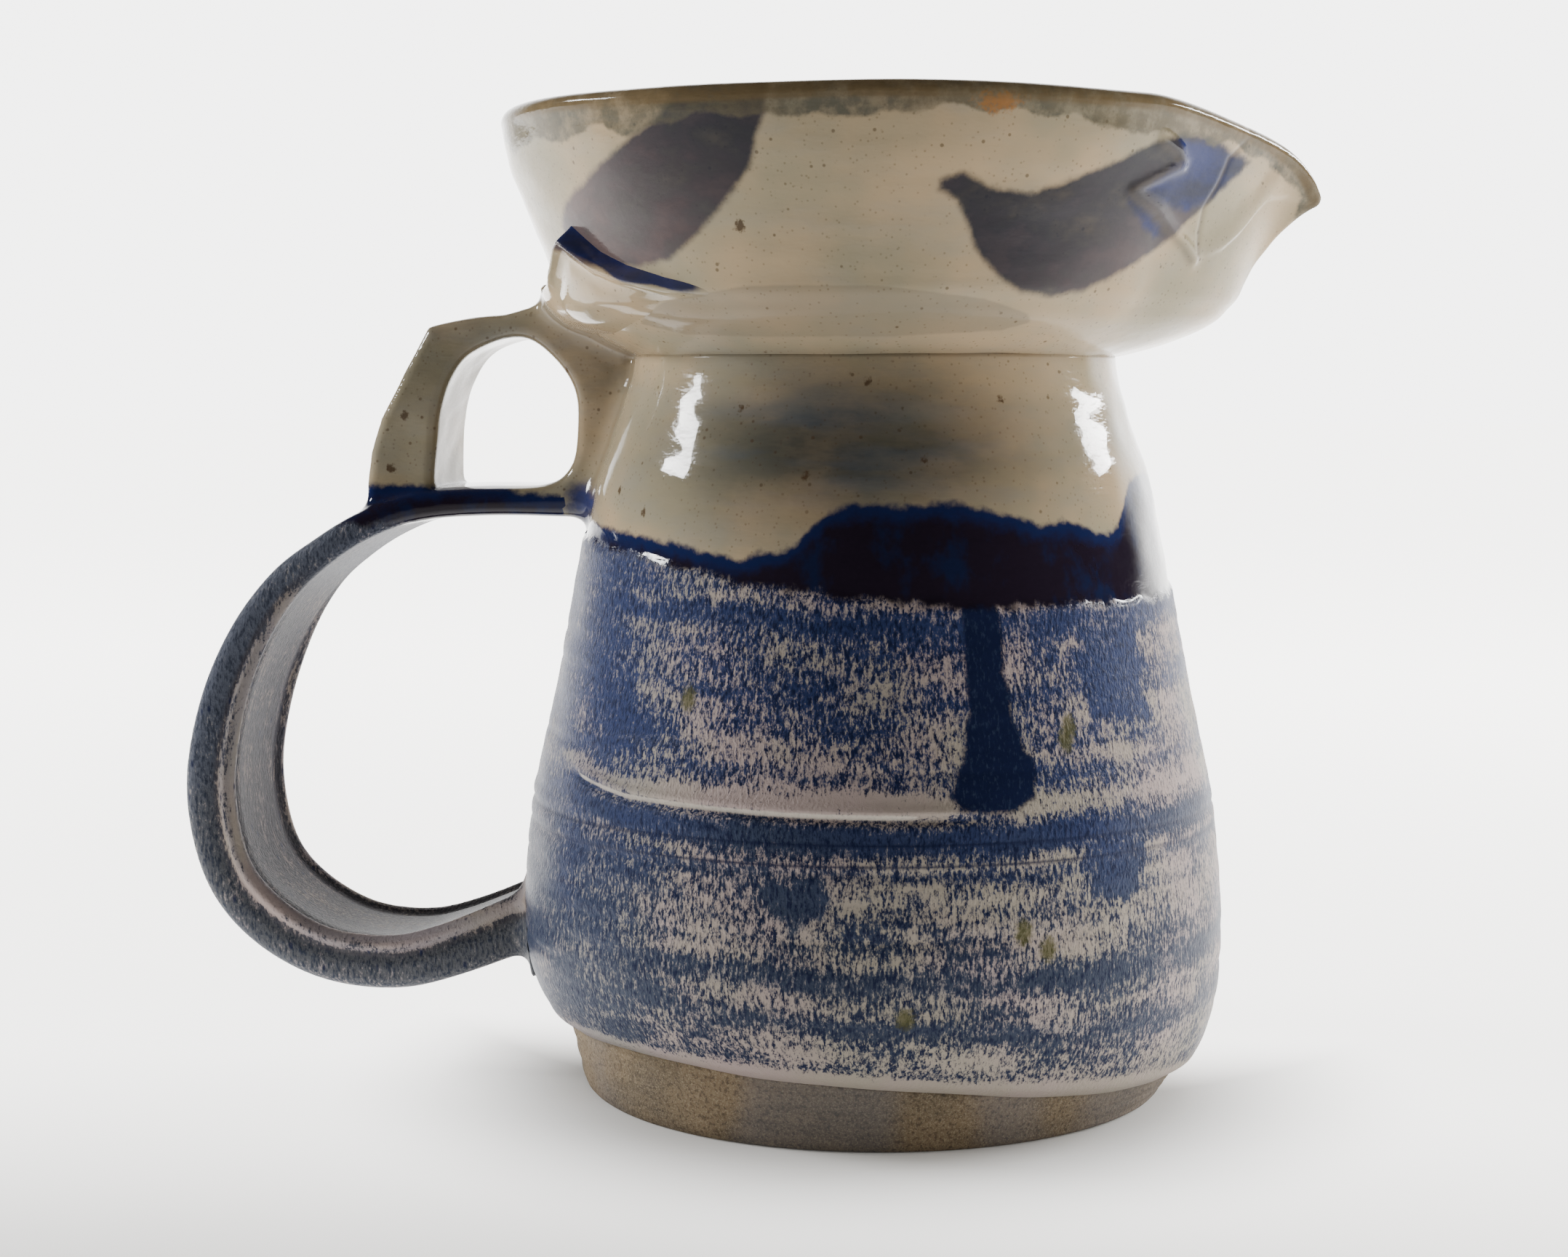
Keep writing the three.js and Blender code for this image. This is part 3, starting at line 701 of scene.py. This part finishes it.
class Glaze(Shader):
    """The pot's glazes, one method for each layer, over the fields that glaze_fields works out."""

    def __init__(self, name):
        super().__init__(name)
        self.ragged = self.minus(self.noise(0.32, 4, 0.6), 0.5)
        self.finer = self.minus(self.noise(1.3, 3, 0.6), 0.5)
        self.both = self.plus(self.ragged, self.finer)
        self.soft = self.noise(0.035, 3, 0.5)
        self.cloud = self.noise(0.085, 4, 0.6, self.stretch(0.6, 0.6, 1.6))
        self.fleck = self.noise(1.7, 3, 0.62, self.stretch(1, 1, 0.36))

    def wander(self, name, amount, noise):
        """A field with its edges made uneven by a noise."""
        return self.plus(self.field(name), self.times(noise, amount))

    def pale_ground(self):
        pale = self.mix(self.step(self.soft, 0.35, 0.65), PALE_COOL, PALE_WARM)
        pale = self.mix(self.step(self.cloud, 0.4, 0.85, 0.0, 0.5), pale, PALE_CLOUD)
        # Near-black blue-grey cloud on the shoulder: partly the glaze's own hazy tone, partly painted shade,
        # strongest round -90 degrees.
        drift = self.noise(0.07, 3, 0.55, self.stretch(0.5, 0.5, 2.2))
        wash = self.mix(self.step(drift, 0.4, 0.62), PALE_HAZE_SHADE, BLUE_HAZE_SHADE)
        haze_and_shade = self.times(self.field("haze_and_shade"), self.step(self.cloud, 0.3, 0.65, 0.84, 1.0))
        pale = self.mix(haze_and_shade, pale, wash)
        flap = self.step(self.wander("flap", 0.5, self.ragged), -0.2, 0.35, 0.0, 0.5)
        pale = self.mix(flap, pale, FLAP_TONE)
        large = self.dots(0.42, (0.09, 0.2), (0.72, 0.78))
        pale = self.mix(self.times(large, 0.6), pale, IRON)
        small = self.dots(0.95, (0.08, 0.32), (0.45, 0.6), channel=1)
        pale = self.mix(self.times(small, 0.34), pale, IRON)
        speck = self.step(self.wander("speck", 2.0, self.both), 0.45, 1.15, 1.0, 0.0)
        return self.mix(self.times(speck, 0.85), pale, IRON)

    def brush_strokes(self, pale):
        stroke = self.step(self.wander("stroke", 1.6, self.ragged), -0.9, 0.9)
        streak = self.noise(0.22, 3, 0.55, self.stretch(0.5, 0.5, 0.9))
        tone = self.mix(self.step(streak, 0.3, 0.7), STROKE_COOL, STROKE_WARM)
        deep = self.times(self.field("deep"), self.step(streak, 0.3, 0.7, 1.0, 0.75))
        tone = self.mix(deep, tone, STROKE_DEEP)
        pale = self.mix(self.times(stroke, self.step(streak, 0.15, 0.6, 0.86, 0.98)), pale, tone)
        dark = self.step(self.wander("dark", 2.4, self.ragged), -0.5, 1.9)
        pool = self.mix(self.step(self.cloud, 0.35, 0.7), POOL, COBALT_DEEP)
        return self.mix(self.times(dark, 0.9), pale, pool)

    def rim(self, pale):
        """A brown edge over a thin smoky band, with one rust mark."""
        smoky = self.step(self.wander("drop", 2.2, self.ragged), 2.4, 3.4, 0.85, 0.0)
        smoky = self.times(smoky, self.step(self.noise(0.3, 4, 0.65), 0.3, 0.62, 0.6, 1.0))
        pale = self.mix(smoky, pale, self.mix(self.step(self.cloud, 0.4, 0.65), SMOKE, SMOKE_WARM))
        rust = self.step(self.wander("rust", 5.0, self.both), 0.4, 2.6, 0.75, 0.0)
        pale = self.mix(rust, pale, RUST)
        brown = self.step(self.field("rim"), 0.3, 0.75, 0.0, 0.75)
        worn = self.step(self.noise(0.16, 4, 0.6), 0.35, 0.6, 0.5, 1.0)
        return self.mix(self.times(brown, worn), pale, RIM_BROWN)

    def dark_band(self):
        edge = self.step(self.wander("pale", 4.0, self.ragged), -4.2, -1.0)
        blue = self.step(self.noise(0.1, 4, 0.65, self.stretch(1, 1, 0.7)), 0.48, 0.66)
        ink = self.mix(self.math("MAXIMUM", edge, blue), INK, COBALT_DEEP)
        return self.mix(self.times(edge, 0.22), ink, POOL)

    def mottle(self, blues):
        """The matte glaze's colour, and how much of it is blue."""
        grainy = self.noise(3.4, 2, 0.6, self.stretch(1, 1, 0.6))
        weave = self.noise(0.3, 3, 0.6, self.stretch(0.14, 0.14, 1.25))
        blotch = self.noise(0.085, 3, 0.55, self.stretch(0.8, 0.8, 1.6))
        runs = self.noise(1.0, 3, 0.6, self.stretch(1, 1, 0.13))
        blue, pink = self.field("blue"), self.field("pink")
        amount = self.fleck
        shares = ((grainy, 0.5), (runs, 0.45), (weave, 0.32), (blotch, 0.5), (blue, 0.3), (pink, -0.32))
        for layer, share in shares:
            amount = self.plus(amount, self.times(layer, share))
        cover = self.step(amount, 1.27, 1.52)
        place = self.node("ShaderNodeSeparateXYZ")
        self.put(place.inputs[0], self.mm)
        height = self.plus(place.outputs[2], self.times(self.soft, 60.0))
        cobalt = self.mix(self.step(height, 70.0, 110.0, 0.8, 0.1), blues[0], blues[1])
        cobalt = self.mix(self.step(self.fleck, 0.45, 0.66), cobalt, blues[2])
        ground = self.mix(self.step(self.soft, 0.35, 0.65), ROSE, SAND)
        ground = self.mix(self.step(blue, 0.1, 0.8, 0.0, 0.5), ground, BLUE_GROUND)
        colour = self.mix(cover, ground, cobalt)
        # painted shade: the strap's inner face gets darker ground and blue, over its own grey-mauve glaze
        inner_face_shade = self.mix(cover, SHADED_INNER_GROUND, SHADED_INNER_BLUE)
        colour = self.mix(self.times(self.field("inner_face_shade"), 0.75), colour, inner_face_shade)
        holes = self.dots(0.42, (0.1, 0.24), (0.45, 0.55), strength=0.8, vector=self.stretch(1, 1, 0.5))
        return self.mix(self.times(holes, self.step(blue, 0.3, 0.6)), colour, COBALT_DEEP), cover

    def marks(self, colour, drip):
        """The drip, olive spots, thin lines and a painted highlight along the groove's ridge top, on the
        matte glaze.
        """
        run = self.mix(self.step(self.fleck, 0.5, 0.75), COBALT_DEEP, DRIP_BLUE)
        colour = self.mix(drip, colour, run)
        olive = self.step(self.wander("olive", 2.4, self.finer), 0.9, 2.4, 0.8, 0.0)
        colour = self.mix(olive, colour, OLIVE_TONE)
        colour = self.mix(self.times(self.field("thin"), 0.85), colour, COBALT_DEEP)
        crest_highlight = self.step(self.wander("crest_highlight", 0.5, self.finer), 0.3, 0.75, 0.75, 0.0)
        return self.mix(crest_highlight, colour, CREST_HIGHLIGHT)


def glaze(name, gloss=0.42, blues=(COBALT, SLATE, COBALT_DEEP), specular=0.07):
    """All the layers laid over each other: pale glaze, dark band, then the matte glaze lowest down."""
    s = Glaze(name)
    pale = s.rim(s.brush_strokes(s.pale_ground()))
    # thin lines, with painted shade in the neck crease
    pale = s.mix(s.times(s.field("thin"), 0.6), pale, THIN_BROWN)
    drip = s.step(s.wander("drip", 1.5, s.both), -0.6, 0.8)
    mottle, cover = s.mottle(blues)
    up = s.step(s.wander("pale", 3.0, s.ragged), -0.7, 0.9)
    low = s.step(s.wander("matte", 4.6, s.ragged), -0.9, 1.3)
    colour = s.mix(low, s.mix(up, s.dark_band(), pale), s.marks(mottle, drip))
    inner = s.field("inside")
    colour = s.mix(inner, colour, s.mix(s.step(s.cloud, 0.3, 0.7), PALE_COOL, PALE_WARM))
    wet = s.math("MAXIMUM", s.minus(1.0, low), s.math("MAXIMUM", s.times(drip, 0.7), inner))
    rough = s.minus(s.step(wet, 0.0, 1.0, 0.46, 0.14), s.times(cover, 0.1))
    rough = s.plus(rough, s.times(s.minus(s.fleck, 0.5), 0.14))
    grain = s.times(s.step(wet, 0.0, 1.0, 1.0, 0.06), s.plus(s.fleck, s.times(s.finer, 0.5)))
    grain = s.plus(s.times(grain, 0.26), s.times(s.cloud, 0.35))
    coat = s.step(wet, 0.0, 1.0, 0.0, gloss)
    return s.finish(colour, rough, grain, coat=coat, specular=specular)


def bare_clay():
    s = Shader("bare_stoneware")
    grit = s.noise(1.4, 5, 0.65)
    turned = s.noise(0.4, 3, 0.6, s.stretch(0.12, 0.12, 1.6))
    fine = s.noise(3.2, 2, 0.6)
    stain = s.noise(0.06, 3, 0.5)
    colour = s.mix(s.step(stain, 0.35, 0.65), CLAY_LIGHT, CLAY_DARK)
    colour = s.mix(s.step(turned, 0.35, 0.7, 0.0, 0.3), colour, CLAY_TURNED)
    colour = s.mix(s.step(fine, 0.5, 0.62, 0.0, 0.45), colour, CLAY_GRAIN)
    colour = s.mix(s.step(grit, 0.5, 0.62, 0.0, 0.7), colour, CLAY_GRIT)
    wash = s.step(s.plus(s.field("blue"), s.times(stain, 0.6)), 0.6, 1.2, 0.0, 0.3)
    colour = s.mix(wash, colour, CLAY_WASH)
    height = s.plus(s.times(grit, 0.3), s.times(turned, 0.35))
    return s.finish(colour, s.step(grit, 0.3, 0.7, 0.7, 0.9), height, specular=0.25)


glaze_body, glaze_saddle, glaze_arch = glaze("glaze_body"), glaze("glaze_saddle"), glaze("glaze_arch", 0.3)
glaze_collar, glaze_lip = glaze("glaze_collar", 0.12), glaze("glaze_lip", 0.12)
glaze_strap = glaze("glaze_strap", 0.4, STRAP_BLUES, 0.03)
clay = bare_clay()

# ---- The pieces ----
around = np.linspace(-math.pi, math.pi, 410, endpoint=False)


def build_foot():
    bevel = 1.6
    outer = [(FOOT["bottom_r"] - bevel + bevel * math.sin(a), bevel - bevel * math.cos(a))
             for a in np.linspace(0, 1.35, 7)]
    (low_r, low_z), top_r, top_z = outer[-1], FOOT["top_r"], FOOT["edge_z"]
    outer += [(low_r + (top_r - low_r) * t, low_z + (top_z - low_z) * t) for t in np.linspace(0, 1, 16)[1:]]
    under = [(r, 0.0) for r in np.linspace(1.0, FOOT["bottom_r"] - bevel - 1.0, 14)]
    top = [(top_r - WALL, top_z)] + [(r, FOOT["floor_z"]) for r in (FOOT["floor_r"], 30.0, 1.0)]
    line = np.array(under + outer + top)
    r, z = line[:, :1] * np.ones(len(around)), line[:, 1:] * np.ones(len(around))
    th = np.broadcast_to(around, r.shape)
    spot = np.stack([np.cos(th) * r, np.sin(th) * r, z], -1)
    side = (r > FOOT["bottom_r"] - 1) & (z > 0.5) & (z < FOOT["edge_z"] - 0.05)
    r = r + side * (0.16 * lumps(spot, 19, 51) + 0.12 * np.sin(z * 2.4 + th))
    points = turn(r, z + lean_at(r, th, z), th)
    fields = {"blue": 0.5 + 0.5 * lumps(spot, 30, 52)}
    quads = grid_quads(len(line), len(around), False, True)
    make_piece("foot_ring", points, quads, fields, clay, "foot")


def build_body():
    line = spline(BODY_PROFILE, 900)
    crowded = 1 + 1.7 * bell(line[:, 1], 63, 10) + 0.7 * bell(line[:, 1], 104, 4)
    share = np.cumsum(crowded + 0.8 * bell(line[:, 1], 11, 4))
    line = line[np.searchsorted(share, np.linspace(share[0], share[-1], 204)).clip(0, 899)]
    r, z = line[:, :1] * np.ones(len(around)), line[:, 1:] * np.ones(len(around))
    roll = np.exp(-((z - 10.6) / 1.7) ** 2) * 0.8  # the glaze gathers in a roll at its lower edge
    vessel_piece("glazed_wall", "body_wall", glaze_body, r + roll, z, around, True)


def collar_surface(theta, count):
    line = spline(COLLAR_PROFILE, count)
    s = np.linspace(0, 1, count)[:, None]
    out, down, swell = lip_pull(theta)
    wobble = 0.35 * np.sin(theta * 2 + 0.6) + 0.25 * np.sin(theta * 5 + 2.0)
    r = line[:, :1] + out * s**4 + swell * np.sin(math.pi * s**0.75)
    z = line[:, 1:] - down * s**2 - (1.2 - wobble) * s**6
    return r, z


def build_collar():
    half = math.radians(LIP["half"])
    theta = np.linspace(half, 2 * math.pi - half, 440)
    theta = np.where(theta > math.pi, theta - 2 * math.pi, theta)
    r, z = collar_surface(theta, 110)
    vessel_piece("flared_collar", "collar", glaze_collar, r, z, theta, False, rim=True)
    theta = np.linspace(-half, half, 190)
    r, z = collar_surface(theta, 120)
    vessel_piece("beak", "pouring_lip", glaze_lip, r, z, theta, False, rim=True)


def build_saddle():
    offs = np.radians(np.linspace(-78, 78, 330))
    theta = np.where(offs > 0, math.pi - offs, -math.pi - offs)
    line = spline(COLLAR_PROFILE, 200)
    line = line[(line[:, 1] > 152.3) & (line[:, 1] < 179)]
    r, z = line[:, :1] * np.ones(len(theta)), line[:, 1:] * np.ones(len(theta))
    nr, nz = edge_normals(r, z)
    th = np.broadcast_to(theta, r.shape)
    off = np.abs(np.degrees(np.broadcast_to(offs, r.shape)))
    tall = saddle_height(off, z)
    lift = tall + relief(th, z)
    out_r, out_z = r + nr * lift, z + nz * lift
    in_r, in_z = r - nr * 1.8, z - nz * 1.8
    rr, zz = np.concatenate([out_r, in_r[::-6]]), np.concatenate([out_z, in_z[::-6]])
    th = np.broadcast_to(theta, rr.shape)
    points = turn(rr, zz, th)
    fields = glaze_fields(th, zz)
    off_all = np.abs(np.degrees(np.broadcast_to(offs, rr.shape)))
    top = saddle_top(off_all)
    pool = bell(zz, top - 0.6, 2.0 + 0.6 * np.sin(off_all * 0.5))
    pool = pool * smooth(off_all, 29, 35) * (1 - smooth(off_all, 60, 72))
    fields["dark"] = np.maximum(fields["dark"], pool * 9 - 3.2)
    fields["inside"], fields["rim"] = np.zeros(rr.shape), np.zeros(rr.shape)
    fields["drop"] = np.full(rr.shape, NO_RIM)
    quads = grid_quads(len(rr), len(theta), True, False)[:, ::-1]
    make_piece("saddle_leaf", points, quads, fields, glaze_saddle, "collar_saddle")


def build_handle():
    field, origin, along_grid, side_grid = handle_field()
    points, quads = surface_nets(field, origin, HANDLE_GRID)
    e = 0.35 * HANDLE_GRID
    for _ in range(2):
        rises = [sample(field, points + d, origin) - sample(field, points - d, origin)
                 for d in np.eye(3) * e]
        slope = np.stack(rises, 1) / (2 * e)
        size = np.linalg.norm(slope, axis=1, keepdims=True) + 1e-6
        shift = -sample(field, points, origin)[:, None] * slope / size**2
        points = points + np.clip(shift, -0.4, 0.4)
    normals = slope / size
    full = np.broadcast_to(along_grid, field.shape)
    along = sample(full, points, origin)
    side = sample(np.broadcast_to(side_grid, field.shape), points, origin)
    x, y, z = points.T
    theta = np.arctan2(y, x)
    fields = glaze_fields(theta, z)
    near_wall = 1 - smooth(np.hypot(x, y), 60, 68)
    line = 124.6 + 0.4 * np.sin(x * 0.21) - 1.9 * smooth(x, -80, -64) - 3.0 * (normals[:, 2] < -0.8)
    fields["pale"] = np.where(near_wall > 0.5, fields["pale"], z - line)
    fields["matte"] = np.where(near_wall > 0.5, fields["matte"], np.minimum(ABSENT, 116.5 - z))
    inner_face = smooth(-side, 0.8, 2.2) * smooth(along, 0.27, 0.36)
    lengths = np.stack([y, along * 26], -1)
    streak = 0.5 + 0.28 * lumps(lengths, 3.4, 61) + 0.22 * lumps(lengths * [1, 0.4], 1.9, 62)
    fields["blue"] = 0.8 + 0.2 * lumps(lengths * [0.5, 1], 9, 63) - 0.2 * bell(along, 0.8, 0.06)
    fields["blue"] += inner_face * (1.2 * streak - 0.7)
    brim = smooth(-side, 2.0, 3.4) * bell(np.abs(y), 16.2, 1.5) * smooth(along, 0.3, 0.36)
    fields["pink"] = 1.3 * brim + 0.9 * inner_face * smooth(streak, 0.62, 0.95)
    for key in ("stroke", "drip", "flap"):
        fields[key] = np.full(len(x), -ABSENT)
    fields["dark"] = np.maximum(-ABSENT, 3.0 - np.hypot(x + 58, z - 121) * 0.6)
    fields["thin"] = np.zeros(len(x))
    # the same hazy tone with painted shade over the handle, heavier near 150 mm up
    fields["haze_and_shade"] = 0.32 + 0.3 * bell(z, 150, 9)
    # painted shade on the strap's inner face, less on its cream brim
    fields["inner_face_shade"] = 0.9 * inner_face * (1 - 0.8 * brim)
    fields["inside"] = np.zeros(len(x))
    fields["rim"] = 0.5 * bell(np.abs(normals[:, 1]), 0.62, 0.26) * (z > 122)
    fields["drop"] = np.full(len(x), NO_RIM)
    fields["speck"] = np.full(len(x), ABSENT)
    for spot in ARCH_SPECKS:
        fields["speck"] = np.minimum(fields["speck"], np.linalg.norm(points - spot, axis=1))
    centre = points[quads].mean(1)
    seam = SEAM_Z - 4.3 * smooth(-centre[:, 0], 89, 107)
    upper = (centre[:, 2] > seam) & (centre[:, 0] > -108)
    for name, node, slot, material, chosen in (
        ("finger_ring", "finger_arch", "pale_glaze", glaze_arch, upper),
        ("strap", "handle_loop", "blue_glaze", glaze_strap, ~upper),
    ):
        used, index = np.unique(quads[chosen], return_inverse=True)
        part = {key: np.asarray(value)[used] for key, value in fields.items()}
        make_piece(name, points[used], index.reshape(-1, 4), part, material, node, normals[used])


build_foot()
build_body()
build_collar()
build_saddle()
build_handle()

# ---- Floor and light ----
FLOOR_SIZE = 20.0
WORLD_RAMP = (0.5, 0.92, 0.05, 5.2)  # dim in front and brighter behind, as the photo is lit from behind
FLOOR_GLOW = (0.18, 3.2, 1.5)  # the table is lit from behind, so it glows more towards the back


def build_floor():
    mesh = bpy.data.meshes.new("floor")
    h = FLOOR_SIZE / 2
    mesh.from_pydata([(-h, -h, 0), (h, -h, 0), (h, h, 0), (-h, h, 0)], [], [(0, 1, 2, 3)])
    floor = bpy.data.objects.new("floor", mesh)
    bpy.context.scene.collection.objects.link(floor)
    s = Shader("pale_floor")
    cloud = s.noise(0.004, 2, 0.5)
    surface = s.node("ShaderNodeBsdfPrincipled")
    s.put(surface.inputs["Base Color"], s.mix(cloud, (0.6, 0.6, 0.59), (0.63, 0.625, 0.61)))
    surface.inputs["Roughness"].default_value = 0.9
    surface.inputs["Emission Color"].default_value = (1.0, 0.985, 0.96, 1)
    split = s.node("ShaderNodeSeparateXYZ")
    s.put(split.inputs[0], s.mm)
    near = s.step(split.outputs[1], -210.0, 0.0, FLOOR_GLOW[0], FLOOR_GLOW[1])
    far = s.step(split.outputs[1], 0.0, 900.0, 0.0, FLOOR_GLOW[2])
    # painted contact shadow: the floor's glow is turned down round the foot and in front of the pot
    reach = s.node("ShaderNodeVectorMath", operation="LENGTH")
    s.put(reach.inputs[0], s.mm)
    shade = s.step(reach.outputs["Value"], 58.0, 118.0, 0.03, 1.0)
    shade = s.math("MAXIMUM", shade, s.step(split.outputs[1], -12.0, 45.0))
    s.put(surface.inputs["Emission Strength"], s.math("MULTIPLY", shade, s.math("ADD", near, far)))
    s.tree.links.new(surface.outputs[0], s.node("ShaderNodeOutputMaterial").inputs[0])
    mesh.materials.append(s.material)


def area_light(name, azimuth, elevation, distance, width, height, watts, colour=(1, 1, 1), mirrored=True):
    """A soft rectangle aimed at the pitcher; azimuth is in degrees from +X."""
    a, e = math.radians(azimuth), math.radians(elevation)
    target = Vector((0, 0, 0.12))
    away = Vector((math.cos(a) * math.cos(e), math.sin(a) * math.cos(e), math.sin(e)))
    data = bpy.data.lights.new(name, "AREA")
    data.shape, data.size, data.size_y = "RECTANGLE", width, height
    data.energy, data.color = watts, colour
    light = bpy.data.objects.new(name, data)
    aim = away.to_track_quat("Z", "Y").to_matrix().to_4x4()
    light.matrix_world = Matrix.Translation(target + away * distance) @ aim
    light.visible_glossy = mirrored
    bpy.context.scene.collection.objects.link(light)


def build_world():
    world = bpy.data.worlds.new("studio")
    bpy.context.scene.world = world
    world.use_nodes = True
    nodes, links = world.node_tree.nodes, world.node_tree.links
    nodes.clear()
    coords = nodes.new("ShaderNodeTexCoord")
    split = nodes.new("ShaderNodeSeparateXYZ")
    links.new(coords.outputs["Generated"], split.inputs[0])
    ramp = nodes.new("ShaderNodeMapRange")
    ramp.interpolation_type = "SMOOTHSTEP"
    for socket, value in zip(ramp.inputs[1:5], WORLD_RAMP):
        socket.default_value = value
    links.new(split.outputs["Y"], ramp.inputs[0])
    back = nodes.new("ShaderNodeBackground")
    back.inputs["Color"].default_value = (1.0, 0.995, 0.985, 1)
    links.new(ramp.outputs[0], back.inputs["Strength"])
    links.new(back.outputs[0], nodes.new("ShaderNodeOutputWorld").inputs[0])


build_floor()
build_world()
area_light("window_left", 181, 24.5, 1.1, 0.36, 0.11, 10)
area_light("window_right", 33, 19.7, 1.1, 0.52, 0.095, 12)
area_light("side_left", 188, 14, 1.5, 1.1, 0.7, 15, (1.0, 0.97, 0.93), False)
area_light("side_right", 2, 14, 1.5, 1.1, 0.7, 17, (1.0, 0.96, 0.9), False)
area_light("back_soft", 90, 42, 1.8, 1.6, 1.0, 9, (1.0, 0.97, 0.93))
